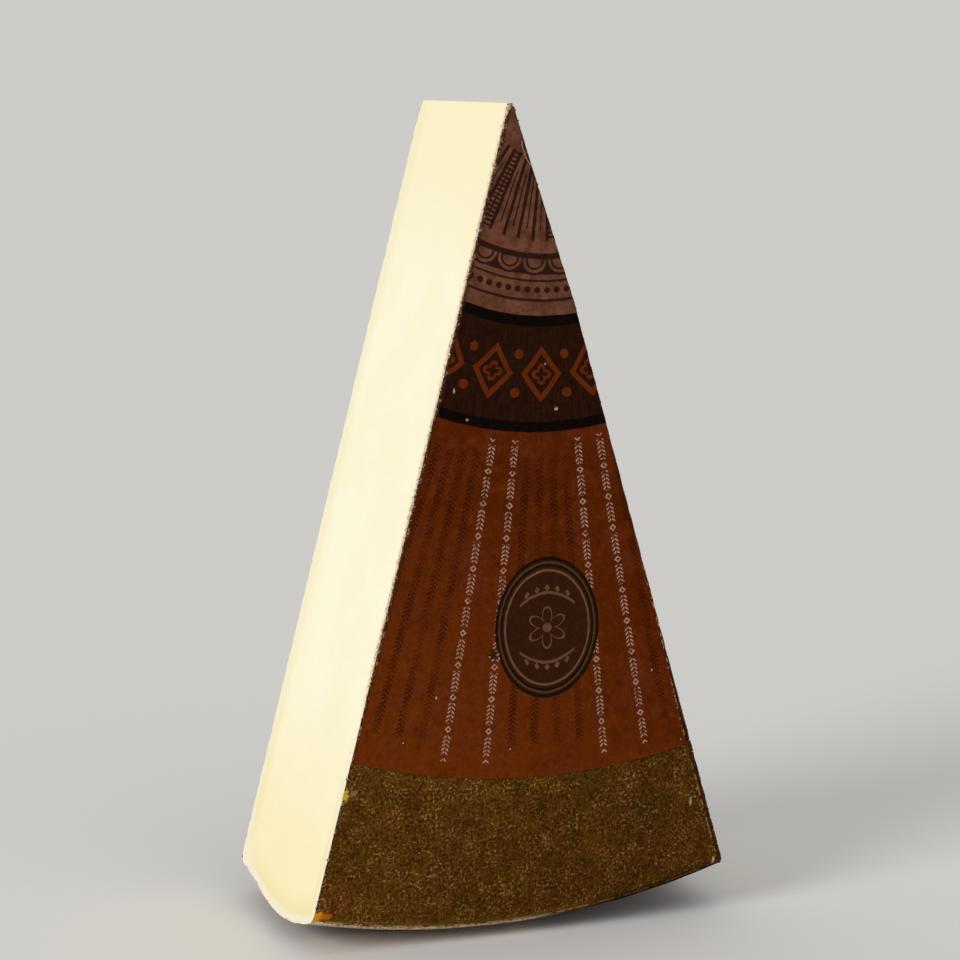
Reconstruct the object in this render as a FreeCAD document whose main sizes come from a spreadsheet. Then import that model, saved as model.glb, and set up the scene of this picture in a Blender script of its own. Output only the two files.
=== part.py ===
import FreeCAD, Part
import math
import os
import Sketcher

# A wedge cut from a large round of pressed mountain cheese, stood on its rim with its point up.
# The round is flat on both faces and its rim bulges, as the hoop and the turning on the shelf leave it.
# Two straight knife cuts free the wedge. Both pass a little to one side of the round's middle,
# so its point is blunt and lies below the middle. A paper label covers the inner part of one face
# and was cut through together with the cheese.
#
# The model is drawn about the middle of the round: X across the wedge, Y through the thickness from
# the labelled face to the bare one, Z up. The placements then set the wedge down on Z = 0.

SIZES = (
    ("heel_height", 97.3, "thickness of the round, from face to face"),
    ("face_radius", 322.5, "radius of the labelled face, out to its corner"),
    ("crown_bulge", 7.5, "how far the rim bulges past that corner"),
    ("crown_depth", 42.0, "from the labelled face in to where the rim is widest"),
    ("behind_crown_radius", 126.8, "radius of the rim's curve behind its crown"),
    ("behind_crown_turn", 13.7, "how far that curve turns, down to the shoulder, degrees"),
    ("taper_angle", 6.8, "lean of the straight taper from the shoulder back, degrees"),
    ("front_corner_round", 3.0, "rounding where the labelled face meets the rim"),
    ("back_corner_round", 4.0, "rounding where the bare face meets the rim"),
    ("shoulder_round", 40.0, "hollow rounding of the shoulder"),
    ("left_cut_angle", 14.49, "lean of the left cut from upright, degrees"),
    ("left_cut_offset", 6.4, "from the middle of the round across to the left cut"),
    ("right_cut_angle", 16.1, "lean of the right cut from upright, degrees"),
    ("right_cut_offset", 8.24, "from the middle of the round across to the right cut"),
    ("tip_drop", 6.2, "from the middle of the round down to the blunt tip"),
    ("tip_width", 1.6, "width of the blunt tip"),
    ("bend_drop", 81.0, "from the middle down to where the right cut bends in to the tip"),
    ("tip_back_round", 3.0, "rounding of the tip where it meets the bare face"),
    ("rest_flat_depth", 1.8, "how far the standing wedge has pressed its rim flat"),
    ("bare_ring", 58.0, "radius left bare between the label and the face's corner"),
    ("label_offset_x", 20.5, "from the middle of the round across to the label's middle"),
    ("label_offset_z", -0.7, "from the middle of the round up to the label's middle"),
    ("label_thickness", 0.3, "thickness of the label with its glue"),
    ("spare", 20.0, "how far the trimming outlines run past the rim"),
)

# Radii and depths that follow from those sizes, as expressions on the sheet.
FRONT = "(-Sizes.heel_height / 2)"
BACK = "(Sizes.heel_height / 2)"
CROWN = f"({FRONT} + Sizes.crown_depth)"
SHOULDER = f"({CROWN} + Sizes.behind_crown_radius * sin(Sizes.behind_crown_turn))"
SHOULDER_FALL = "(Sizes.behind_crown_radius * (1 - cos(Sizes.behind_crown_turn)))"
CROWN_RADIUS = "(Sizes.face_radius + Sizes.crown_bulge)"
SHOULDER_RADIUS = f"({CROWN_RADIUS} - {SHOULDER_FALL})"
BACK_RADIUS = f"({SHOULDER_RADIUS} - ({BACK} - {SHOULDER}) * tan(Sizes.taper_angle))"
LABEL_RADIUS = "(Sizes.face_radius - Sizes.bare_ring)"

NEAR = 1e-4  # two places this close, in mm, are one
PARALLEL = 1e-6  # sine of the angle below which two directions are one
SAME_VOLUME = 1e-9  # share of a volume below which nothing was changed

doc = FreeCAD.newDocument("CheeseWedge")


def fill_sheet():
    """Put every driving size into the spreadsheet, with its alias and meaning."""
    sheet = doc.addObject("Spreadsheet::Sheet", "Sizes")
    for row, (alias, number, meaning) in enumerate(SIZES, start=1):
        sheet.set(f"A{row}", alias)
        sheet.set(f"B{row}", str(number))
        sheet.set(f"C{row}", meaning)
        sheet.setAlias(f"B{row}", alias)
    doc.recompute()


fill_sheet()


# --- places, as expressions on the sheet -------------------------------------------------------


class Cut:
    """One knife cut, seen square to the labelled face. Its places are expressions.

    The foot is the cut's nearest point to the middle of the round, and a place on the cut is
    given by how far it lies down the cut from that foot. lean is -1 where the cut goes down to
    the left and 1 where it goes down to the right.
    """

    def __init__(self, side, lean):
        self.offset = f"Sizes.{side}_cut_offset"
        self.sine = f"{lean} * sin(Sizes.{side}_cut_angle)"
        self.cosine = f"cos(Sizes.{side}_cut_angle)"

    def point(self, along):
        """The place that lies this far down the cut from its foot."""
        across = f"{self.offset} * {self.cosine} + ({along}) * {self.sine}"
        up = f"{self.offset} * {self.sine} - ({along}) * {self.cosine}"
        return across, up

    def along_at_drop(self, drop):
        """How far down the cut a level line meets it, this far below the middle."""
        return f"(({drop}) + {self.offset} * {self.sine}) / {self.cosine}"

    def along_at_circle(self, radius, centre_x="0", centre_z="0"):
        """How far down the cut it leaves a circle."""
        middle = f"(({centre_x}) * {self.sine} - ({centre_z}) * {self.cosine})"
        aside = f"({self.offset} - ({centre_x}) * {self.cosine} - ({centre_z}) * {self.sine})"
        return f"{middle} + sqrt(({radius})^2 - {aside}^2)"


LEFT = Cut("left", -1)
RIGHT = Cut("right", 1)


def blunt_point():
    """The tip and the bend of the right cut: left corner of the tip, its right corner, the bend."""
    left_x, tip_z = LEFT.point(LEFT.along_at_drop("Sizes.tip_drop"))
    right_x = f"{left_x} + Sizes.tip_width"
    bend = RIGHT.point(RIGHT.along_at_drop("Sizes.bend_drop"))
    return (left_x, tip_z), (right_x, tip_z), bend


def setting_down():
    """Where the middle of the round goes, so that the wedge stands centred over the origin."""
    far_left = LEFT.point(LEFT.along_at_circle(CROWN_RADIUS))[0]
    far_right = RIGHT.point(RIGHT.along_at_circle(CROWN_RADIUS))[0]
    return {
        "x": f"-(({far_left}) + ({far_right})) / 2",
        "y": "Sizes.label_thickness / 2",
        "z": f"{CROWN_RADIUS} - Sizes.rest_flat_depth",
    }


# --- sketches ----------------------------------------------------------------------------------


def number(owner, expression):
    """What an expression comes to with the sizes now in the sheet."""
    return float(owner.evalExpression(expression))


def new_body(label):
    """An empty body with its label, set down where the wedge stands."""
    body = doc.addObject("PartDesign::Body", label)
    body.Label = label
    for axis, expression in setting_down().items():
        body.setExpression(f"Placement.Base.{axis}", expression)
    return body


def new_sketch(body, name, plane):
    """An empty sketch on one of the body's own origin planes."""
    sketch = body.newObject("Sketcher::SketchObject", name)
    found = [feature for feature in body.Origin.OriginFeatures if feature.Role == plane]
    sketch.AttachmentSupport = [(found[0], "")]
    sketch.MapMode = "FlatFace"
    return sketch


def bind(sketch, constraint, expression):
    """Add a constraint whose size follows an expression."""
    index = sketch.addConstraint(constraint)
    sketch.setExpression(f"Constraints[{index}]", expression)


def pin(sketch, edge, end, place):
    """Hold one end of an edge at a place, measured from the sketch's origin."""
    for kind, expression in zip(("DistanceX", "DistanceY"), place):
        now = number(sketch, expression)
        bind(sketch, Sketcher.Constraint(kind, -1, 1, edge, end, now), expression)


def outward_arc(start, end, radius):
    """An anticlockwise arc that bulges to the right of the way from start to end."""
    chord = end - start
    sagitta = radius - math.sqrt(radius**2 - (chord.Length / 2) ** 2)
    outward = FreeCAD.Vector(chord.y, -chord.x, 0).normalize()
    middle = (start + end) * 0.5 + outward * sagitta
    return Part.Arc(start, middle, end)


def draw_outline(sketch, corners, radii=None):
    """Close a loop through the corners, anticlockwise, with arcs after the corners in radii."""
    radii = radii or {}
    points = [FreeCAD.Vector(number(sketch, x), number(sketch, y), 0) for x, y in corners]
    edges = []
    for index, start in enumerate(points):
        end = points[(index + 1) % len(points)]
        if index in radii:
            shape = outward_arc(start, end, number(sketch, radii[index]))
        else:
            shape = Part.LineSegment(start, end)
        edges.append(sketch.addGeometry(shape))
    for index, edge in enumerate(edges):
        following = edges[(index + 1) % len(edges)]
        sketch.addConstraint(Sketcher.Constraint("Coincident", edge, 2, following, 1))
        pin(sketch, edge, 1, corners[index])
        if index in radii:
            now = number(sketch, radii[index])
            bind(sketch, Sketcher.Constraint("Radius", edge, now), radii[index])


# --- features ----------------------------------------------------------------------------------


def through_pocket(body, sketch, name):
    """Cut a sketch right through the body, both ways from its plane."""
    pocket = body.newObject("PartDesign::Pocket", name)
    pocket.Profile = sketch
    pocket.SideType = "Symmetric"
    pocket.Type = "ThroughAll"
    doc.recompute()


def ring_names(shape, radius, depth):
    """Names of the edges that run round the rim at this radius and depth."""
    names = []
    for index, edge in enumerate(shape.Edges, start=1):
        if not isinstance(edge.Curve, Part.Circle):
            continue
        same_radius = math.isclose(edge.Curve.Radius, radius, abs_tol=NEAR)
        same_depth = math.isclose(edge.Curve.Center.y, depth, abs_tol=NEAR)
        if same_radius and same_depth:
            names.append(f"Edge{index}")
    return names


def crossing_names(shape, corner, direction):
    """Names of the straight edges that leave this corner along this direction."""
    names = []
    for index, edge in enumerate(shape.Edges, start=1):
        if not isinstance(edge.Curve, Part.Line):
            continue
        starts_here = any(vertex.Point.isEqual(corner, NEAR) for vertex in edge.Vertexes)
        if starts_here and edge.Curve.Direction.cross(direction).Length < PARALLEL:
            names.append(f"Edge{index}")
    return names


def round_edges(body, name, edges, rounding):
    """Round these edges of the body's last feature. The rounding is an expression."""
    base = body.Tip
    fillet = body.newObject("PartDesign::Fillet", name)
    fillet.Base = (base, edges)
    fillet.setExpression("Radius", rounding)
    doc.recompute()


# --- the wedge ---------------------------------------------------------------------------------


def make_round(body):
    """Revolve half the section of the whole cheese about its upright middle."""
    section = new_sketch(body, "RoundSection", "XY_Plane")
    corners = (
        ("0", FRONT),
        ("Sizes.face_radius", FRONT),
        (CROWN_RADIUS, CROWN),
        (SHOULDER_RADIUS, SHOULDER),
        (BACK_RADIUS, BACK),
        ("0", BACK),
    )
    before_crown = "(Sizes.crown_depth^2 + Sizes.crown_bulge^2) / (2 * Sizes.crown_bulge)"
    bulges = {1: before_crown, 2: "Sizes.behind_crown_radius"}
    draw_outline(section, corners, bulges)
    revolution = body.newObject("PartDesign::Revolution", "WholeRound")
    revolution.Profile = section
    revolution.ReferenceAxis = (section, ["V_Axis"])
    revolution.Angle = 360.0
    doc.recompute()


def round_rim(body):
    """Soften the rim: the hollow where the bulge runs out, and its two corners."""
    rings = (
        ("Shoulder", SHOULDER_RADIUS, SHOULDER, "Sizes.shoulder_round"),
        ("BackCorner", BACK_RADIUS, BACK, "Sizes.back_corner_round"),
        ("FrontCorner", "Sizes.face_radius", FRONT, "Sizes.front_corner_round"),
    )
    for name, radius, depth, rounding in rings:
        edges = ring_names(body.Tip.Shape, number(body, radius), number(body, depth))
        round_edges(body, name, edges, rounding)


def cut_wedge(body):
    """Take away all of the round but the wedge between the two knife cuts."""
    trim = new_sketch(body, "KnifeCuts", "XZ_Plane")
    tip_left, tip_right, bend = blunt_point()
    below = f"{CROWN_RADIUS} + Sizes.spare"
    low_left = LEFT.point(LEFT.along_at_drop(below))
    low_right = RIGHT.point(RIGHT.along_at_drop(below))
    draw_outline(trim, (tip_left, low_left, low_right, bend, tip_right))
    wide = f"{CROWN_RADIUS} + 2 * Sizes.spare"
    around = Part.Circle(FreeCAD.Vector(), FreeCAD.Vector(0, 0, 1), number(trim, wide))
    ring = trim.addGeometry(around)
    trim.addConstraint(Sketcher.Constraint("Coincident", ring, 3, -1, 1))
    bind(trim, Sketcher.Constraint("Radius", ring, around.Radius), wide)
    through_pocket(body, trim, "WedgeCut")


def wear_tip(body):
    """Round the tip off where it meets the bare face."""
    tip_x, tip_z = blunt_point()[0]
    corner = FreeCAD.Vector(number(body, tip_x), number(body, BACK), number(body, tip_z))
    edges = crossing_names(body.Tip.Shape, corner, FreeCAD.Vector(1, 0, 0))
    round_edges(body, "TipBack", edges, "Sizes.tip_back_round")


def press_flat(body):
    """Flatten the lowest part of the rim, where the wedge stands."""
    foot = new_sketch(body, "RestLine", "XZ_Plane")
    top = f"-({CROWN_RADIUS} - Sizes.rest_flat_depth)"
    low = f"-({CROWN_RADIUS} + Sizes.spare)"
    side = f"{CROWN_RADIUS} / 2"
    corners = ((f"-{side}", low), (side, low), (side, top), (f"-{side}", top))
    draw_outline(foot, corners)
    through_pocket(body, foot, "RestFlat")


def make_cheese():
    """The cheese itself: one solid, rind and paste together."""
    body = new_body("cheese")
    make_round(body)
    round_rim(body)
    cut_wedge(body)
    wear_tip(body)
    press_flat(body)
    return body


# --- the label ---------------------------------------------------------------------------------


def make_label():
    """The paper label: a sector of a disc, trimmed by the same two cuts as the cheese."""
    body = new_body("label")
    outline = new_sketch(body, "LabelOutline", "XZ_Plane")
    outline.setExpression("AttachmentOffset.Base.z", "Sizes.heel_height / 2")
    tip_left, tip_right, bend = blunt_point()
    disc = (LABEL_RADIUS, "Sizes.label_offset_x", "Sizes.label_offset_z")
    low_left = LEFT.point(LEFT.along_at_circle(*disc))
    low_right = RIGHT.point(RIGHT.along_at_circle(*disc))
    draw_outline(outline, (tip_left, low_left, low_right, bend, tip_right), {1: disc[0]})
    pad = body.newObject("PartDesign::Pad", "Paper")
    pad.Profile = outline
    pad.setExpression("Length", "Sizes.label_thickness")
    doc.recompute()
    return body


# --- checks and export -------------------------------------------------------------------------


def check_document():
    """Stop if any object of the document failed to compute."""
    doc.recompute()
    for item in doc.Objects:
        if {"Invalid", "Error"} & set(item.State):
            raise RuntimeError(f"{item.Label} did not compute: {item.State}")


def check_cuts(body):
    """Stop if a cut or a rounding left its solid as it was."""
    features = [item for item in body.Group if hasattr(item, "AddSubShape")]
    for before, after in zip(features, features[1:]):
        if math.isclose(before.Shape.Volume, after.Shape.Volume, rel_tol=SAME_VOLUME):
            raise RuntimeError(f"{after.Label} changed nothing")


def export(body):
    """Check one sub-part and write it to its own file."""
    shape = body.Shape
    if shape.isNull() or not shape.isValid() or len(shape.Solids) != 1:
        raise RuntimeError(f"{body.Label} is not one sound solid")
    shape.exportStep(f"parts/{body.Label}.step")
    box = shape.optimalBoundingBox(True, False)
    print(f"{body.Label}: {shape.Volume:.0f} mm3, X {box.XMin:.2f} to {box.XMax:.2f},"
          f" Y {box.YMin:.2f} to {box.YMax:.2f}, Z {box.ZMin:.2f} to {box.ZMax:.2f}")


os.makedirs("parts", exist_ok=True)
bodies = (make_cheese(), make_label())
check_document()
for body in bodies:
    check_cuts(body)
    export(body)
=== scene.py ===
import math

import bpy
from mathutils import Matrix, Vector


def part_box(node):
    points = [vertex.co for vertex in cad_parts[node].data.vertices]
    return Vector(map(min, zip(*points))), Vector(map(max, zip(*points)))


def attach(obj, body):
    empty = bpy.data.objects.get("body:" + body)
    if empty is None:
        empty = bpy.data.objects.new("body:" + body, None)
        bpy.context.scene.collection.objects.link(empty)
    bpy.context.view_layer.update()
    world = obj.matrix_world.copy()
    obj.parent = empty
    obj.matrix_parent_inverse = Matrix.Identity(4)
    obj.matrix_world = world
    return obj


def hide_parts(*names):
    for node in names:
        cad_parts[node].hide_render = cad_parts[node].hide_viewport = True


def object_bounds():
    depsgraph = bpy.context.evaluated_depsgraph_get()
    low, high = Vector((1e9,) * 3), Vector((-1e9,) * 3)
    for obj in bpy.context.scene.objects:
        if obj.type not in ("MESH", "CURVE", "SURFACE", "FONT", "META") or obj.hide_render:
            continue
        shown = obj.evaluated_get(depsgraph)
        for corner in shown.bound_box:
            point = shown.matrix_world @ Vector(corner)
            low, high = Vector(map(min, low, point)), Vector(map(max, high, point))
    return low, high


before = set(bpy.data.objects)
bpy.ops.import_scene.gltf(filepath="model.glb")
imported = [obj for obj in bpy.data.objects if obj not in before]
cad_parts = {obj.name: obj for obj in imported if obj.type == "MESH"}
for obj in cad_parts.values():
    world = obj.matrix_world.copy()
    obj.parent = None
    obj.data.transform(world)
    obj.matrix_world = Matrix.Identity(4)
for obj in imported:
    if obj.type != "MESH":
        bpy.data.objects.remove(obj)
cad_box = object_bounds()

# --- Wedge -------------------------------------------------------------------------------------
# The wedge of pressed cheese: pale paste within a thin crust and a dry, grainy brown rind.
# A hoop shaped the round's bulging rim, and salting and months on a shelf dried its rind. A long
# knife cut the wedge, so its cut faces are flat and their edges crumble.

MM = 0.001
wedge_low, wedge_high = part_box("cheese")

HEEL = wedge_high.y - wedge_low.y
TIP_HEIGHT = wedge_high.z
CROWN_RADIUS = 330.0 * MM
LEFT_LEAN = math.radians(14.49)
LEFT_OFFSET = 6.4 * MM
RIGHT_LEAN = math.radians(16.1)
RIGHT_OFFSET = 8.24 * MM
CROWN_LEFT_TURN = LEFT_LEAN - math.asin(LEFT_OFFSET / CROWN_RADIUS)
TIP_DROP = 6.2 * MM

WEDGE_SIZES = {
    "Heel": HEEL - 0.35 * MM,
    "Face Y": wedge_low.y,
    "Middle X": wedge_low.x + CROWN_RADIUS * math.sin(CROWN_LEFT_TURN),
    "Middle Z": TIP_HEIGHT + TIP_DROP,
    "Crown Radius": CROWN_RADIUS - 0.25 * MM,
    "Crown Depth": 42.0 * MM,
    "Front Bend": 121.35 * MM,
    "Back Bend": 126.8 * MM,
    "Shoulder Radius": 326.2 * MM,
    "Shoulder Run": 30.0 * MM,
    "Taper": math.tan(math.radians(6.8)),
    "Front Corner": 3.0 * MM,
    "Back Corner": 4.0 * MM,
    "Tip Corner": 3.0 * MM,
    "Left Lean": LEFT_LEAN,
    "Left Offset": LEFT_OFFSET,
    "Right Lean": RIGHT_LEAN,
    "Right Offset": RIGHT_OFFSET,
    "Tip Height": TIP_HEIGHT,
    "Tip Width": 1.6 * MM,
    "Bend Height": TIP_HEIGHT - 74.8 * MM,
    "Rind Swell": 0.55 * MM,
    "Rind Grain": 0.42 * MM,
    "Edge Wear": 0.4 * MM,
    "Knife Ripple": 0.18 * MM,
    "Label Sink": 0.15 * MM,
    "Label X": wedge_low.x + CROWN_RADIUS * math.sin(CROWN_LEFT_TURN) + 20.5 * MM,
    "Label Z": TIP_HEIGHT + TIP_DROP - 0.7 * MM,
    "Label Radius": 264.5 * MM,
}
LABEL_MIDDLE = (WEDGE_SIZES["Label X"], WEDGE_SIZES["Label Z"])
WEDGE_GRID = {"Vertices X": 111, "Vertices Y": 71, "Vertices Z": 201}
# A grid share this near 0 or 1 is at the grid's side, and a distance this small is on a face.
AT_SIDE = 0.001
ON_SKIN = 0.01 * MM
ON_CUT = 0.2 * MM
CREASE = math.radians(50)


class Flow:
    """A value on its way through a node tree. Operators on it add Math nodes to that tree."""

    def __init__(self, tree, socket=None):
        self.tree = tree
        self.socket = socket

    def node(self, kind, settings=None, values=None, output=0):
        """Add any other node: its settings first, then the values or links of its sockets."""
        made = self.tree.nodes.new(kind)
        for name, setting in (settings or {}).items():
            setattr(made, name, setting)
        for name, value in (values or {}).items():
            socket = self.found(made.inputs, name)
            if isinstance(value, Flow):
                self.tree.links.new(value.socket, socket)
            else:
                socket.default_value = value
        return Flow(self.tree, self.found(made.outputs, output) if made.outputs else None)

    @staticmethod
    def found(sockets, name):
        """A socket by its place, its identifier or its name."""
        if isinstance(name, int):
            return sockets[name]
        for socket in sockets:
            if socket.identifier == name:
                return socket
        return sockets[name]

    def math(self, operation, *others):
        return self.node("ShaderNodeMath", {"operation": operation}, dict(enumerate((self, *others))))

    def after(self, operation, first):
        return self.node("ShaderNodeMath", {"operation": operation}, {0: first, 1: self})

    def __add__(self, other):
        return self.math("ADD", other)

    __radd__ = __add__

    def __sub__(self, other):
        return self.math("SUBTRACT", other)

    def __rsub__(self, other):
        return self.after("SUBTRACT", other)

    def __mul__(self, other):
        return self.math("MULTIPLY", other)

    __rmul__ = __mul__

    def __truediv__(self, other):
        return self.math("DIVIDE", other)

    def __rtruediv__(self, other):
        return self.after("DIVIDE", other)

    def __pow__(self, other):
        return self.math("POWER", other)

    def __mod__(self, other):
        return self.math("FLOORED_MODULO", other)

    def __abs__(self):
        return self.math("ABSOLUTE")

    def __lt__(self, other):
        return self.math("LESS_THAN", other)

    def __gt__(self, other):
        return self.math("GREATER_THAN", other)

    def low(self, other):
        return self.math("MINIMUM", other)

    def high(self, other):
        return self.math("MAXIMUM", other)

    def rise(self, start, end):
        """A smooth step from 0 at start to 1 at end, or falling where start is above end."""
        settings = {"interpolation_type": "SMOOTHSTEP"}
        return self.node("ShaderNodeMapRange", settings, {0: self, 1: start, 2: end})

    def parts(self):
        """The three numbers of a vector."""
        return [self.node("ShaderNodeSeparateXYZ", None, {0: self}, axis) for axis in range(3)]

    def scaled(self, size):
        """A vector times a number, or times another vector one axis at a time."""
        size = (size,) * 3 if isinstance(size, float) else size
        return self.node("ShaderNodeVectorMath", {"operation": "MULTIPLY"}, {0: self, 1: size})

    def noise(self, size, detail=2.0, roughness=0.5):
        """Cloudy noise about 0.5 with features of this size, with this flow as the place."""
        values = {"Vector": self, "Scale": 1.0 / size, "Detail": detail, "Roughness": roughness}
        return self.node("ShaderNodeTexNoise", None, values, 0)


def vector(x, y, z):
    """One vector from three flows or numbers, of which the first is a flow."""
    return x.node("ShaderNodeCombineXYZ", None, {0: x, 1: y, 2: z})


def named_tree(name, sizes, with_surface=False):
    """An empty geometry tree with named inputs for its sizes, and flows that read them."""
    tree = bpy.data.node_groups.new(name, "GeometryNodeTree")
    tree.interface.new_socket("Geometry", in_out="OUTPUT", socket_type="NodeSocketGeometry")
    if with_surface:
        tree.interface.new_socket("Surface", in_out="INPUT", socket_type="NodeSocketGeometry")
    for label in sizes:
        tree.interface.new_socket(label, in_out="INPUT", socket_type="NodeSocketFloat")
    entry = tree.nodes.new("NodeGroupInput")
    return tree, {socket.name: Flow(tree, socket) for socket in entry.outputs if socket.name}


def finish_tree(result, material=None):
    """End a tree: instances made real, the material set, the geometry handed out."""
    result = result.node("GeometryNodeRealizeInstances", None, {0: result})
    if material is not None:
        dressed = {"Geometry": result, "Material": material}
        result = result.node("GeometryNodeSetMaterial", None, dressed)
    result.node("NodeGroupOutput", None, {0: result})


def grown(name, tree, sizes, surface=None):
    """Run a tree once, on a surface where it needs one, and keep the result as a plain mesh."""
    mesh = surface.data.copy() if surface else bpy.data.meshes.new(name)
    piece = bpy.data.objects.new(name, mesh)
    bpy.context.scene.collection.objects.link(piece)
    modifier = piece.modifiers.new("Tree", "NODES")
    modifier.node_group = tree
    for item in tree.interface.items_tree:
        if item.in_out == "INPUT" and item.name in sizes:
            modifier[item.identifier] = sizes[item.name]
    evaluated = piece.evaluated_get(bpy.context.evaluated_depsgraph_get())
    result = bpy.data.meshes.new_from_object(evaluated)
    piece.modifiers.remove(modifier)
    piece.data = result
    return piece


def left_edge(z, size):
    """Where the left cut lies at this height."""
    lean = size["Left Lean"]
    foot = size["Middle X"] + size["Left Offset"] / lean.math("COSINE")
    return foot + (z - size["Middle Z"]) * lean.math("TANGENT")


def right_edge(z, size):
    """Where the right cut lies at this height. Near the tip it bends in to the tip's corner."""
    lean = size["Right Lean"]
    foot = size["Middle X"] + size["Right Offset"] / lean.math("COSINE")
    slope = lean.math("TANGENT")
    cut = foot - (z - size["Middle Z"]) * slope
    bend = foot - (size["Bend Height"] - size["Middle Z"]) * slope
    tip = left_edge(size["Tip Height"], size) + size["Tip Width"]
    share = (z - size["Tip Height"]) / (size["Bend Height"] - size["Tip Height"])
    return cut.low(tip + share * (bend - tip))


def fan(across, down, radius, centre, size):
    """Spread a grid over the wedge, seen square on: across between the cuts, down to an arc."""
    centre_x, centre_z = centre
    beside = centre_x - size["Middle X"]
    above = centre_z - size["Middle Z"]
    left, right = size["Left Lean"], size["Right Lean"]
    left_gap = size["Left Offset"] - beside * left.math("COSINE") + above * left.math("SINE")
    right_gap = size["Right Offset"] - beside * right.math("COSINE") - above * right.math("SINE")
    left_turn = (left_gap / radius).math("ARCSINE") - left
    right_turn = (right_gap / radius).math("ARCSINE") + right
    turn = left_turn + across * (right_turn - left_turn)
    foot_x = centre_x + radius * turn.math("SINE")
    foot_z = (centre_z - radius * turn.math("COSINE")).high(0.0)
    foot_left = left_edge(foot_z, size)
    foot_share = (foot_x - foot_left) / (right_edge(foot_z, size) - foot_left)
    z = size["Tip Height"] + down * (foot_z - size["Tip Height"])
    share = across + down * (foot_share - across)
    return share, z


def rounding(first, second, radius):
    """How far to draw in two distances from a corner's faces, so that they round it off."""
    first_gap = (radius - first).high(0.0)
    second_gap = (radius - second).high(0.0)
    length = (first_gap * first_gap + second_gap * second_gap).math("SQRT")
    spare = 1.0 - (radius / length.high(1e-6)).low(1.0)
    return first_gap * spare, second_gap * spare


def rim_radius(depth, size):
    """The round's radius at a depth behind its labelled face."""
    behind = depth - size["Crown Depth"]
    at_back = behind > 0.0
    bend = size["Front Bend"] + at_back * (size["Back Bend"] - size["Front Bend"])
    arc = size["Crown Radius"] - bend + (bend * bend - behind * behind).math("SQRT")
    taper = size["Shoulder Radius"] - (behind - size["Shoulder Run"]) * size["Taper"]
    return arc + at_back * (taper - arc).high(0.0)


def keep(mesh, name, value):
    """Store a field on the mesh's points under a name."""
    settings = {"data_type": "FLOAT", "domain": "POINT"}
    values = {"Geometry": mesh, "Name": name, "Value": value}
    return mesh.node("GeometryNodeStoreNamedAttribute", settings, values)


def kept(flow, name):
    """Read back a stored field."""
    settings = {"data_type": "FLOAT"}
    return flow.node("GeometryNodeInputNamedAttribute", settings, {"Name": name})


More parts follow.
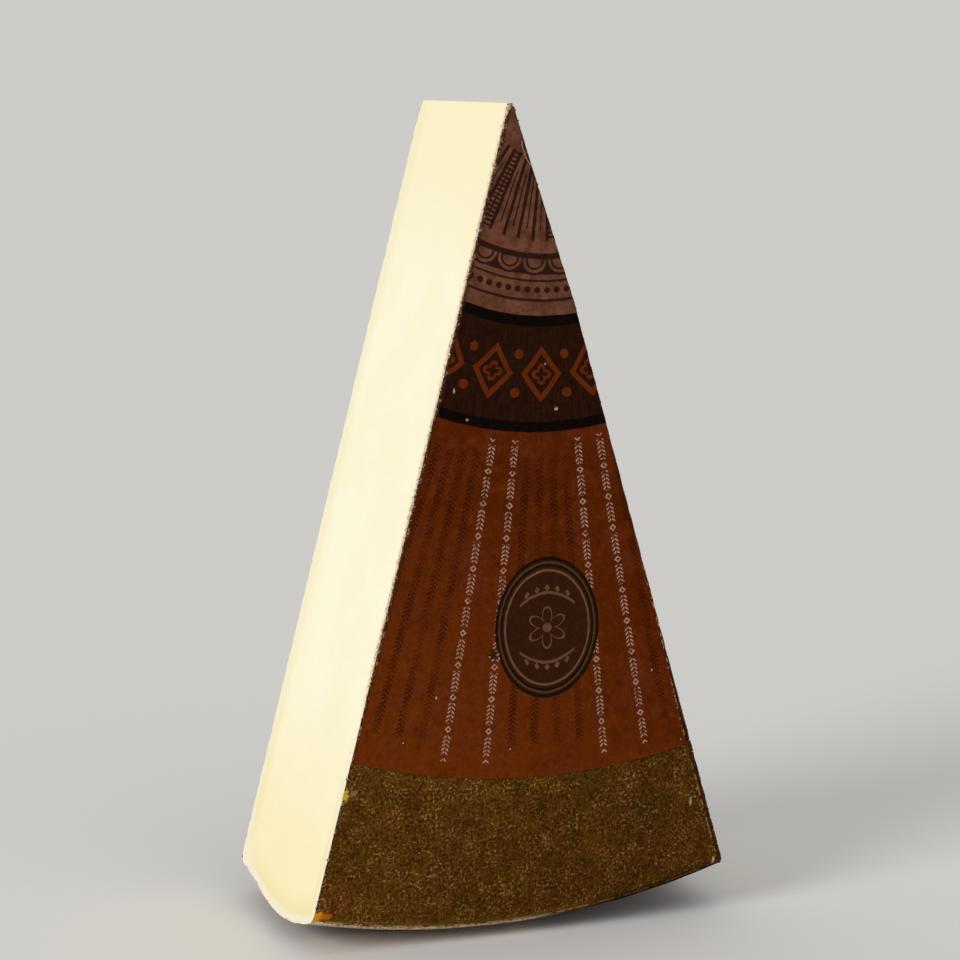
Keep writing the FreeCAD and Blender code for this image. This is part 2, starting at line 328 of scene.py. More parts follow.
def wedge_tree(rind, paste):
    """The whole wedge as one closed mesh: a box of cells bent to the round's section."""
    tree, size = named_tree("Wedge", WEDGE_SIZES)
    start = Flow(tree)
    mesh = start.node("GeometryNodeMeshCube", None, {"Size": (1, 1, 1), **WEDGE_GRID})
    place = start.node("GeometryNodeInputPosition")
    across, through, up = place.parts()
    across, through, down = across + 0.5, through + 0.5, 0.5 - up

    mesh = mesh.node("GeometryNodeSetMaterial", None, {"Geometry": mesh, "Material": rind})
    bare_paste = (across < AT_SIDE).high(across > 1 - AT_SIDE).high(down < AT_SIDE)
    chosen = {"Geometry": mesh, "Selection": bare_paste, "Material": paste}
    mesh = mesh.node("GeometryNodeSetMaterial", None, chosen)

    full_turn = 2 * math.pi
    crowded = through - (through * full_turn).math("SINE") * (0.5 / full_turn)
    rows_above_ring = 0.5
    ring_start = 0.8
    upper = down * (ring_start / rows_above_ring)
    lower = (down - rows_above_ring) * ((1 - ring_start) / (1 - rows_above_ring)) + ring_start
    reach = upper.low(lower)
    depth = crowded * size["Heel"]
    radius = rim_radius(depth, size)
    share, z = fan(across, reach, radius, (size["Middle X"], size["Middle Z"]), size)
    left, right = left_edge(z, size), right_edge(z, size)
    x = left + share * (right - left)
    out_x, out_z = x - size["Middle X"], z - size["Middle Z"]
    out = (out_x * out_x + out_z * out_z).math("SQRT")
    to_rim = (radius - out).high(0.0) * (down < 1 - AT_SIDE)
    front_in, rim_in = rounding(depth, to_rim, size["Front Corner"])
    back_in, rim_back_in = rounding(size["Heel"] - depth, to_rim, size["Back Corner"])
    tip_gap = size["Tip Height"] - z
    tip_back_in, tip_in = rounding(size["Heel"] - depth, tip_gap, size["Tip Corner"])
    inward = (rim_in + rim_back_in) / out.high(1e-4)
    new_x = x - out_x * inward
    new_z = z - out_z * inward - tip_in
    new_y = size["Face Y"] + depth + front_in - back_in - tip_back_in

    mesh = keep(mesh, "to_left", (x - left) * size["Left Lean"].math("COSINE"))
    mesh = keep(mesh, "to_right", (right - x) * size["Right Lean"].math("COSINE"))
    mesh = keep(mesh, "to_front", depth)
    mesh = keep(mesh, "to_back", size["Heel"] - depth)
    mesh = keep(mesh, "to_rim", to_rim)
    bent = {"Geometry": mesh, "Position": vector(new_x, new_y, new_z)}
    mesh = mesh.node("GeometryNodeSetPosition", None, bent)

    place = mesh.node("GeometryNodeInputPosition")
    x, y, z = place.parts()
    to_cut = kept(mesh, "to_left").low(kept(mesh, "to_right"))
    to_skin = kept(mesh, "to_front").low(kept(mesh, "to_back")).low(kept(mesh, "to_rim"))
    on_skin = (to_skin < ON_SKIN) * (z < size["Tip Height"] - 0.5 * MM)
    off_cut = to_cut.rise(0.0, 2.0 * MM)
    label_x, label_z = x - size["Label X"], z - size["Label Z"]
    label_out = (label_x * label_x + label_z * label_z).math("SQRT")
    under_label = (kept(mesh, "to_front") < ON_SKIN) * (label_out < size["Label Radius"])
    swell = (place.noise(9.0 * MM, 3.0) - 0.75) * size["Rind Swell"]
    grain = (place.noise(1.9 * MM, 2.0, 0.7) - 0.7) * size["Rind Grain"]
    relief = (swell + grain) * on_skin * off_cut * (1.0 - 0.7 * under_label)
    sunk = under_label * size["Label Sink"]
    chips = place.noise(3.7 * MM, 4.0, 0.8).rise(0.38, 0.75)
    on_cut = to_cut < ON_CUT
    worn = size["Edge Wear"] * chips * on_skin * on_cut
    rippled = place.scaled((1.0, 1.0, 3.0)).noise(14.0 * MM, 3.0) * size["Knife Ripple"]
    dent = rippled * on_cut * (1.0 - on_skin)
    normal = mesh.node("GeometryNodeInputNormal")
    push = relief - sunk - worn - dent
    moved = {"Geometry": mesh, "Offset": normal.scaled(vector(push, push, push))}
    mesh = mesh.node("GeometryNodeSetPosition", None, moved)
    x, y, z = mesh.node("GeometryNodeInputPosition").parts()
    x = x.high(wedge_low.x).low(wedge_high.x)
    y = y.low(wedge_high.y)
    z = z.high(0.0).low(wedge_high.z)
    mesh = mesh.node("GeometryNodeSetPosition", None, {"Geometry": mesh, "Position": vector(x, y, z)})
    smooth = {"Geometry": mesh, "Shade Smooth": True}
    mesh = mesh.node("GeometryNodeSetShadeSmooth", {"domain": "FACE"}, smooth)
    sharp = mesh.node("GeometryNodeInputMeshEdgeAngle") > CREASE
    creased = {"Geometry": mesh, "Selection": sharp, "Shade Smooth": False}
    mesh = mesh.node("GeometryNodeSetShadeSmooth", {"domain": "EDGE"}, creased)
    finish_tree(mesh)
    return tree


def painted(name, specular, roughness):
    """A new material, its Principled shader and a flow to start its tree from."""
    material = bpy.data.materials.new(name)
    material.use_nodes = True
    shader = material.node_tree.nodes["Principled BSDF"]
    shader.inputs["Specular IOR Level"].default_value = specular
    shader.inputs["Roughness"].default_value = roughness
    return material, shader, Flow(material.node_tree)


def blend(mask, under, over):
    """Lay one colour over another where the mask is 1."""
    values = {"Factor_Float": mask, "A_Color": under, "B_Color": over}
    return mask.node("ShaderNodeMix", {"data_type": "RGBA"}, values, "Result_Color")


def tone(red, green, blue):
    """A colour as it looks, from 0 to 255, turned to the shader's light values."""
    shares = (red / 255, green / 255, blue / 255)
    return tuple(c / 12.92 if c < 0.04 else ((c + 0.055) / 1.055) ** 2.4 for c in shares) + (1.0,)


def raise_bump(shader, height, distance, strength=1.0):
    """Fine relief on a finished shader."""
    values = {"Height": height, "Distance": distance, "Strength": strength}
    bump = height.node("ShaderNodeBump", None, values)
    height.tree.links.new(bump.socket, shader.inputs["Normal"])


def colour_shader(shader, colour):
    """Give a shader its colour."""
    colour.tree.links.new(colour.socket, shader.inputs["Base Color"])


def object_place(flow):
    """Where a point of the piece is, in metres."""
    return flow.node("ShaderNodeTexCoord", None, None, "Object")


def stored(flow, name):
    """A field kept on the mesh, read by a material."""
    return flow.node("ShaderNodeAttribute", {"attribute_name": name}, None, "Fac")


def paste_material():
    """The cut paste: ivory, greener toward the skin, with a soft pale crust right under it."""
    material, shader, flow = painted("paste", 0.2, 0.6)
    place = object_place(flow)
    z = place.parts()[2]
    cloud = place.noise(30.0 * MM, 3.0)
    speck = place.noise(2.2 * MM, 3.0, 0.6)
    waver = (place.noise(7.0 * MM, 2.0) - 0.5) * 2.6 * MM
    to_front, to_back, to_rim = (stored(flow, name) for name in ("to_front", "to_back", "to_rim"))
    colour = blend(cloud.rise(0.35, 0.65), tone(251, 246, 215), tone(250, 243, 208))
    colour = blend(z.rise(240.0 * MM, 310.0 * MM), colour, tone(249, 239, 198))
    low = z.rise(110.0 * MM, 20.0 * MM)
    colour = blend(low * 0.8, colour, tone(248, 233, 182))
    green = (to_back + waver).rise(13.0 * MM, 4.0 * MM) * (0.4 + 0.6 * low)
    green = green.high((to_front + waver * 0.5).rise(7.0 * MM, 3.0 * MM) * low)
    green = green.high((to_rim + waver).rise(13.0 * MM, 3.0 * MM))
    colour = blend(green * 0.75, colour, tone(236, 226, 168))
    crust = (to_back + waver).rise(7.0 * MM, 1.5 * MM) * (0.6 + 0.4 * low)
    crust = crust.high((to_front + waver * 0.4 - low * 1.3 * MM).rise(2.6 * MM, 0.7 * MM))
    crust = crust.high((to_rim + waver * 0.5).rise(4.6 * MM, 2.0 * MM))
    crust = crust.high((to_back + to_rim + waver).rise(30.0 * MM, 14.0 * MM) * 0.8)
    colour = blend(crust * 0.85, colour, tone(246, 234, 211))
    lint = place.noise(1.3 * MM, 3.0, 0.75)
    along_label = z.rise(88.0 * MM, 112.0 * MM)
    flush = (to_front + waver * 0.6).rise(4.2 * MM, 0.8 * MM) * along_label
    colour = blend(flush * 0.7, colour, tone(244, 222, 190))
    # A fringe along the label's edge: pale flecks of paste, and brown between them that is partly dots
    # of rind and partly painted shadow of the flecks.
    fringe = (to_front + (speck - 0.5) * 8.0 * MM).rise(2.8 * MM, 0.8 * MM) * along_label
    fleck_and_shadow_tone = blend(lint.rise(0.44, 0.54), tone(122, 76, 44), tone(238, 208, 178))
    colour = blend(fringe * 0.75, colour, fleck_and_shadow_tone)
    colour = blend(speck.rise(0.62, 0.75) * 0.08, colour, tone(228, 208, 160))
    colour_shader(shader, colour)
    shader.inputs["Subsurface Weight"].default_value = 0.12
    shader.inputs["Subsurface Radius"].default_value = (1.0, 0.8, 0.45)
    shader.inputs["Subsurface Scale"].default_value = 2.0 * MM
    drag = place.scaled((1.0, 0.25, 1.0)).noise(1.2 * MM, 3.0, 0.6)
    raise_bump(shader, drag + speck * 0.6, 0.25 * MM, 0.5)
    return material


# In front of this the skin is the labelled face's, where the marks lie.
FRONT_SKIN = -46.0 * MM
RIND_FACE = -48.5
RIND_STAINS = (
    # Millimetres across and up, radius in millimetres, colour.
    (-76.0, 22.0, 9.0, tone(104, 44, 10)),
    (29.8, 34.0, 9.0, tone(104, 52, 10)),
    (51.9, 44.8, 11.0, tone(62, 44, 8)),
)
RIND_MARKS = (
    # Millimetres across and up, radius in millimetres, colour, stretch.
    (-83.6, 16.9, 3.0, tone(216, 150, 12), (0.9, 0.3, 1.7)),
    (-80.9, 16.6, 2.2, tone(178, 92, 14), (0.8, 0.3, 1.7)),
    (-72.6, 63.0, 2.6, tone(206, 168, 48), (1.5, 0.3, 0.9)),
    (-69.2, 63.4, 1.5, tone(136, 96, 72), (0.9, 0.3, 1.2)),
    (81.6, 22.2, 1.1, tone(196, 176, 156), (1.6, 0.3, 0.8)),
    (71.3, 47.4, 1.3, tone(180, 154, 114), (2.0, 0.3, 0.75)),
    (50.1, 45.0, 2.0, tone(62, 40, 16), (0.8, 0.3, 1.2)),
    (-0.6, 23.1, 1.0, tone(100, 104, 46), (1.0, 0.3, 1.0)),
)


def rind_material():
    """The dry rind: golden brown with olive and reddish clouds, rough with paler grains, with painted
    shade in its hollows, along its right cut edge and under the rim's bulge, and a painted sheen on the
    rim below the front corner.
    """
    material, shader, flow = painted("rind", 0.015, 0.9)
    place = object_place(flow)
    x, y, z = place.parts()
    cloud = place.noise(28.0 * MM, 3.0)
    patch = place.noise(8.0 * MM, 3.0, 0.6)
    lump = place.noise(2.6 * MM, 2.0, 0.6)
    grain = place.noise(1.1 * MM, 2.0, 0.6)
    colour = blend(cloud.rise(0.38, 0.62), tone(85, 52, 8), tone(86, 48, 10))
    colour = blend(patch.rise(0.52, 0.70) * 0.6, colour, tone(66, 45, 8))
    colour = blend(patch.rise(0.46, 0.30) * 0.5, colour, tone(98, 63, 18))
    front = y < FRONT_SKIN
    for centre_x, centre_z, radius, over in RIND_STAINS:
        aside, above = x - centre_x * MM, z - centre_z * MM
        reach = (aside * aside + above * above).math("SQRT") + (patch - 0.5) * 14.0 * MM
        colour = blend(reach.rise(radius * MM, 0.2 * radius * MM) * front * 0.6, colour, over)
    # Painted shade in the hollows between the lumps; then the lumps' tops a little paler.
    colour = blend(lump.rise(0.48, 0.34) * 0.5, colour, tone(54, 31, 6))
    colour = blend(lump.rise(0.54, 0.68) * 0.4, colour, tone(106, 76, 22))
    # Painted shade in the hollows between the fine grains; then pale specks on the grains' tops, more
    # of them in some patches.
    colour = blend(grain.rise(0.46, 0.34) * 0.75, colour, tone(36, 20, 4))
    specks = grain.rise(0.53, 0.66) * (0.3 + 0.7 * patch.rise(0.54, 0.42))
    colour = blend(specks * 0.8, colour, tone(150, 120, 66))

    to_front, to_rim = stored(flow, "to_front"), stored(flow, "to_rim")
    to_left, to_right = stored(flow, "to_left"), stored(flow, "to_right")
    # Darker along both cut edges, widest at the labelled face's right edge; along the right cut this is
    # painted shade where the edge turns away from the light.
    from_right = to_right + (lump - 0.5) * 1.6 * MM - front * 1.0 * MM
    at_cut = to_left.rise(1.5 * MM, 0.5 * MM).high(from_right.rise(1.1 * MM, 0.5 * MM))
    colour = blend(at_cut * 0.8, colour, tone(56, 31, 12))
    at_left = to_left.rise(1.5 * MM, 0.5 * MM)
    colour = blend(at_left * grain.rise(0.52, 0.62) * 0.6, colour, tone(160, 124, 88))

    ragged = (patch - 0.5) * 9.0 * MM + (grain - 0.5) * 3.0 * MM
    # Near 1 toward the left end of the front corner and near 0 toward its right end, with a ragged
    # border.
    left_stretch = (x + ragged * 2.0).rise(38.0 * MM, 26.0 * MM)
    on_rim = to_rim < ON_SKIN
    above_corner = (to_rim + ragged * 0.2).rise(3.4 * MM, 1.6 * MM) * (to_front < ON_SKIN)
    colour = blend(above_corner * 0.55, colour, blend(left_stretch, tone(48, 26, 8), tone(112, 78, 30)))
    # Painted shade on the rim under its bulge, just behind the front corner: deep toward the right,
    # lighter brown toward the left.
    under_bulge_shade = on_rim * to_front.rise(26.0 * MM, 16.0 * MM)
    colour = blend(under_bulge_shade * 0.9, colour, blend(left_stretch, tone(40, 20, 7), tone(92, 60, 24)))
    corner = (to_front + to_rim).rise(1.0 * MM, 0.4 * MM) * lump.rise(0.40, 0.52)
    colour = blend(corner * (0.25 + 0.55 * left_stretch), colour, tone(176, 142, 86))
    # Painted sheen on the rim's bulge just below the front corner, toward the left: pale and streaked,
    # as rind catches light at a grazing angle.
    rim_sheen = on_rim * (to_front + ragged * 0.12).rise(0.5 * MM, 1.0 * MM)
    rim_sheen = rim_sheen * to_front.rise(30.0 * MM, 22.0 * MM) * (x + ragged).rise(20.0 * MM, 4.0 * MM)
    sheen_tone = blend(grain.rise(0.40, 0.62), tone(168, 140, 110), tone(224, 204, 176))
    colour = blend(rim_sheen * 0.9, colour, sheen_tone)

    scuff = abs(to_right - 2.0 * MM + (lump - 0.5) * 0.8 * MM).rise(0.45 * MM, 0.12 * MM) * front
    scuff = scuff * z.rise(20.0 * MM, 26.0 * MM) * z.rise(66.0 * MM, 58.0 * MM) * lump.rise(0.42, 0.56)
    colour = blend(scuff * 0.5, colour, tone(170, 140, 104))
    near_tip = (z + (grain - 0.5) * 3.0 * MM).rise(316.5 * MM, 318.0 * MM)
    torn = near_tip * to_left.rise(2.6 * MM, 1.6 * MM)
    colour = blend(torn * front * 0.85, colour, tone(226, 202, 178))
    for centre_x, centre_z, radius, over, stretch in RIND_MARKS:
        colour = spot(colour, place, (centre_x, RIND_FACE, centre_z), radius, over, stretch)
    toward_left = (x - z * 0.6 + (cloud - 0.5) * 60.0 * MM).rise(20.0 * MM, -90.0 * MM)
    shade = (0.86 + 0.3 * toward_left) * (0.6 + 0.8 * place.noise(13.0 * MM, 3.0, 0.6))
    colour = colour.scaled(vector(shade, shade, shade))
    colour_shader(shader, colour)
    raise_bump(shader, grain + lump * 0.8 + patch * 0.5, 0.6 * MM, 1.0)
    return material


def spot(colour, place, centre, radius, over, stretch=(1.0, 1.0, 1.0)):
    """A ragged spot of another colour, in millimetres, narrower where its stretch is above 1."""
    towards = tuple(-value * MM for value in centre)
    offset = place.node("ShaderNodeVectorMath", {"operation": "ADD"}, {0: place, 1: towards})
    offset = offset.scaled(stretch)
    length = place.node("ShaderNodeVectorMath", {"operation": "LENGTH"}, {0: offset}, "Value")
    ragged = length + (place.noise(0.6 * radius * MM, 3.0, 0.8) - 0.5) * (3.0 * radius * MM)
    return blend(ragged.rise(1.15 * radius * MM, 0.45 * radius * MM), colour, over)


paste = paste_material()
rind = rind_material()
cheese = grown("cheese_wedge", wedge_tree(rind, paste), WEDGE_SIZES)
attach(cheese, "root")
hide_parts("cheese")

# --- Label -------------------------------------------------------------------------------------
# The round's paper label, printed in brown and orange and pressed onto the fresh rind, so that the
# rind's grain shows through it. The knife cut it with the cheese and tore a little off its edges.

LABEL_SIZES = {
    **WEDGE_SIZES,
    "Front Y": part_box("label")[0].y,
    "Thickness": 0.3 * MM,
    "Buckle": 0.16 * MM,
    "Left Tear": 1.0 * MM,
    "Left Gap": 0.15 * MM,
    "Right Tear": 0.7 * MM,
    "Right Gap": 0.45 * MM,
    "Right Peel": 1.3 * MM,
    "Notch": 0.9 * MM,
    "Top Gap": 1.6 * MM,
    "Arc Tear": 0.9 * MM,
}
LABEL_GRID = {"Vertices X": 111, "Vertices Y": 2, "Vertices Z": 261}


def label_tree(printed, fibre):
    """The label as a thin closed sheet between the two cuts, with torn edges."""
    tree, size = named_tree("Label", LABEL_SIZES)
    start = Flow(tree)
    mesh = start.node("GeometryNodeMeshCube", None, {"Size": (1, 1, 1), **LABEL_GRID})
    across, through, up = start.node("GeometryNodeInputPosition").parts()
    across, through, down = across + 0.5, through + 0.5, 0.5 - up
    mesh = mesh.node("GeometryNodeSetMaterial", None, {"Geometry": mesh, "Material": fibre})
    chosen = {"Geometry": mesh, "Selection": through < AT_SIDE, "Material": printed}
    mesh = mesh.node("GeometryNodeSetMaterial", None, chosen)

    along_arc = vector(across, 0.0, 0.0)
    nibbled = along_arc.noise(0.012, 3.0, 0.7) * size["Arc Tear"]
    centre = (size["Label X"], size["Label Z"])
    share, z = fan(across, down, size["Label Radius"] - nibbled, centre, size)
    left, right = left_edge(z, size), right_edge(z, size)
    fray = vector(z, 0.0, 0.0).noise(2.2 * MM, 5.0, 0.8).rise(0.28, 0.72)
    more_above = 0.35 + 0.65 * z.rise(75.0 * MM, 105.0 * MM)
    frayed_left = fray * size["Left Tear"] * more_above + size["Left Gap"]
    fray = vector(0.5 - z, 0.0, 0.0).noise(3.0 * MM, 5.0, 0.8).rise(0.35, 0.75)
    peeled = z.rise(128.0 * MM, 66.0 * MM)
    frayed_right = fray * size["Right Tear"] * (0.4 + peeled) + size["Right Gap"]
    frayed_right = frayed_right + peeled * size["Right Peel"]
    notch = size["Notch"] * z.rise(299.0 * MM, 302.0 * MM) * z.rise(309.5 * MM, 306.0 * MM)
    left = left + frayed_left
    right = (right - frayed_right - notch).high(left + 0.3 * MM)
    x = left + share * (right - left)
    torn_top = size["Tip Height"] - size["Top Gap"] - (1.0 - across) * size["Top Gap"]
    z = z.low(torn_top + vector(x, 0.0, z).noise(1.0 * MM) * MM)
    mesh = keep(mesh, "to_left", x - left)
    mesh = keep(mesh, "to_right", right - x)
    front = through < 0.5
    place = vector(x, 0.0, z)
    buckle = place.noise(7.0 * MM, 2.0) * size["Buckle"] + place.noise(1.5 * MM, 2.0, 0.7) * 0.1 * MM
    y = size["Front Y"] + front * buckle + (1.0 - front) * size["Thickness"]
    bent = {"Geometry": mesh, "Position": vector(x, y, z)}
    mesh = mesh.node("GeometryNodeSetPosition", None, bent)
    smooth = {"Geometry": mesh, "Shade Smooth": True}
    mesh = mesh.node("GeometryNodeSetShadeSmooth", {"domain": "FACE"}, smooth)
    sharp = mesh.node("GeometryNodeInputMeshEdgeAngle") > CREASE
    creased = {"Geometry": mesh, "Selection": sharp, "Shade Smooth": False}
    mesh = mesh.node("GeometryNodeSetShadeSmooth", {"domain": "EDGE"}, creased)
    finish_tree(mesh)
    return tree


def fibre_material():
    """Raw paper, where the label is torn."""
    material, shader, flow = painted("paper_fibre", 0.15, 0.9)
    place = object_place(flow)
    colour = blend(place.noise(0.8 * MM, 2.0).rise(0.52, 0.66), tone(78, 50, 32), tone(176, 146, 116))
    colour_shader(shader, colour)
    return material


# The print is laid out from the label's middle: radii and widths in millimetres, turns in degrees.
LINE_SOFTNESS = 0.16
DISC_EDGE = 85.6
BAND_EDGE = 129.6
INNER_RULE = (85.3, 89.4)
OUTER_RULE = (125.6, 129.6)
BAND_MIDDLE = 107.5
LOZENGE_PITCH = 10.6
RAYS = (26.0, 57.0)
SHORT_RAYS = (33.0, 53.0)
PALE_ROWS = (-20.5, -9.4, -5.5, 5.5, 9.4)
PALE_ROW_RUN = (133.0, 258.0)
FAINT_ROW_GROUPS = (-15.0, 0.0, 15.0)
FAINT_ROW_STEPS = (-3.3, -1.1, 1.1, 3.3)
FAINT_ROW_RUN = (139.0, 251.0)
BADGE_HALF_WIDTH = 21.3
BADGE_HALF_HEIGHT = 27.4
BADGE_ASIDE = 0.54
BADGE_FALL = 205.5


def stroke(distance, half_width):
    """A line's mask from the distance to its middle. Both are in millimetres."""
    return abs(distance).rise(half_width + LINE_SOFTNESS, half_width - LINE_SOFTNESS)


def ring(out, start, end):
    """The mask of a ring between two radii, in millimetres."""
    inner = out.rise(start - LINE_SOFTNESS, start + LINE_SOFTNESS)
    return inner * out.rise(end + LINE_SOFTNESS, end - LINE_SOFTNESS)


def repeated(value, pitch):
    """A value that runs from minus half the pitch to plus half of it, again and again."""
    return (value + pitch / 2) % pitch - pitch / 2


def lozenge_band(out, turn):
    """The middle band's ornament: a chain of lozenges with a flower in each, and beads between."""
    pitch = math.radians(LOZENGE_PITCH)
    aside = repeated(turn + math.radians(1.2), pitch) * BAND_MIDDLE
    above = out - BAND_MIDDLE
    lozenge = abs(aside) / 8.4 + abs(above) / 11.0
    chain = stroke((lozenge - 0.84) * 8.0, 1.15)
    reach = (aside * aside + above * above).math("SQRT")
    petals = above.math("ARCTAN2", aside) * 4.0
    flower = stroke(reach - 1.6 - 1.7 * abs((petals * 0.5).math("COSINE")), 0.7)
    between = abs(aside) - pitch * BAND_MIDDLE / 2
    beads = (between * between + (abs(above) - 7.4) ** 2.0).math("SQRT").rise(2.0, 1.7)
    return chain.high(flower).high(beads)


def wheat_row(out, turn, row_turn):
    """One pale radial row: an ear of wheat, with a lozenge between each length and the next."""
    aside = abs(turn - math.radians(row_turn)) * out
    leaf = stroke(repeated(out - aside * 0.8, 1.62), 0.36) * aside.rise(1.5, 1.3) * aside.rise(0.1, 0.3)
    cell = abs(repeated(out - PALE_ROW_RUN[0], 12.5))
    lozenge = stroke(cell + aside - 1.05, 0.36)
    ear = leaf * cell.rise(2.2, 2.4)
    return ear.high(lozenge * cell.rise(2.1, 1.9)) * ring(out, *PALE_ROW_RUN)


def laurel_row(out, turn, row_turn):
    """One faint dark radial row: a stem with a leaf on each side in turn."""
    pitch = 1.7
    aside = (turn - math.radians(row_turn)) * out
    along = out + row_turn * 1.7
    stem = stroke(aside - (along * 0.9).math("SINE") * 0.2, 0.2)
    side = aside.math("SIGN")
    step = repeated(along + side * pitch / 4 - abs(aside) * 0.8, pitch)
    reach = (abs(aside) - 0.85) / 0.85
    width = step / 0.5
    leaf = (reach * reach + width * width).math("SQRT").rise(1.15, 0.75)
    return stem.high(leaf)


def sun_disc(out, turn, wander):
    """The middle disc's ornament: dark and hatched rays, scallops on a dark ground, and beads."""
    fine = math.radians(6.0)
    ray = abs(repeated(turn, fine)) * out
    long_rays = ray.rise(0.8, 0.5) * ring(out, *RAYS)
    between = abs(repeated(turn + fine / 2, fine)) * out
    short_rays = between.rise(0.4, 0.15) * ring(out, *SHORT_RAYS)
    sector = (turn / fine).math("FLOOR") % 5.0
    hatching = stroke(repeated(out + wander * 0.8, 1.7), 0.42) * (sector < 0.5) * ring(out, *RAYS)
    scallop_turn = math.radians(9.0)
    aside = repeated(turn + scallop_turn / 2, scallop_turn) * 64.0
    above = out - 64.5
    bow = (aside * aside + above * above).math("SQRT")
    scallops = stroke(bow - 5.2, 0.5).high(stroke(bow - 3.2, 0.4)) * (above + 0.8).rise(0.0, 0.3)
    spandrels = ring(out, 61.8, 64.0).high(bow.rise(5.2, 5.5) * ring(out, 63.9, 69.8))
    beads = (repeated(turn, math.radians(3.0)) * 76.0) ** 2.0 + (out - 75.6) ** 2.0
    beads = beads.math("SQRT").rise(1.35, 1.1)
    lines = ring(out, 79.0, 80.0).high(ring(out, 71.8, 72.6))
    ornament = long_rays.high(short_rays).high(hatching).high(scallops)
    return ornament.high(spandrels).high(beads).high(lines)


def oval_badge(x, z):
    """The oval badge: its ground, its dark rim, and a pale flower and boughs within a pale ring."""
    across, above = x / BADGE_HALF_WIDTH, z / BADGE_HALF_HEIGHT
    reach = (across * across + above * above).math("SQRT")
    ground = reach.rise(1.0, 0.992)
    rim = stroke((reach - 0.985) * 24.0, 0.55).high(stroke((reach - 0.885) * 24.0, 0.4))
    light = stroke((reach - 0.925) * 24.0, 0.3) * 0.45
    light = light.high(stroke((reach - 0.815) * 24.0, 0.4))
    around = x.math("ARCTAN2", z)
    flower_out = (x * x + z * z).math("SQRT")
    petal = abs((around * 3.0).math("COSINE"))
    flower = stroke(flower_out - 3.0 - 5.0 * petal, 0.45).high(flower_out.rise(2.0, 1.6))
    tail = abs(z) - 13.6 + x * x * 0.035
    boughs = stroke(tail, 0.55) * abs(x).rise(11.5, 11.0)
    leaf = repeated(x, 4.2)
    leaves = stroke(abs(leaf) + abs(tail - 1.9) * 0.8 - 0.55, 0.55) * abs(x).rise(9.5, 9.2)
    return ground, rim, light.high((flower.high(boughs).high(leaves)) * 0.85)


# The nicks lie on the label's outer face.
LABEL_FACE = -48.7
LABEL_NICKS = (
    # Millimetres across and up, radius in millimetres, stretch.
    (-28.5, 215.1, 1.0, (1.6, 0.3, 0.8)),
    (12.9, 206.5, 1.1, (1.0, 0.3, 1.2)),
    (-23.3, 203.9, 0.6, (1.0, 0.3, 1.0)),
    (8.3, 223.9, 0.5, (1.0, 0.3, 1.0)),
    (-10.7, 112.9, 0.6, (1.0, 0.3, 1.2)),
    (-10.3, 111.3, 0.6, (1.2, 0.3, 0.9)),
    (-14.2, 112.1, 0.5, (0.8, 0.3, 1.2)),
    (-35.9, 97.9, 0.7, (1.2, 0.3, 0.9)),
    (-49.3, 81.5, 0.5, (1.0, 0.3, 1.0)),
    (-5.7, 75.3, 0.5, (1.0, 0.3, 1.0)),
    (53.8, 101.8, 0.6, (1.0, 0.3, 1.0)),
    (66.6, 73.0, 0.5, (1.5, 0.3, 0.8)),
)


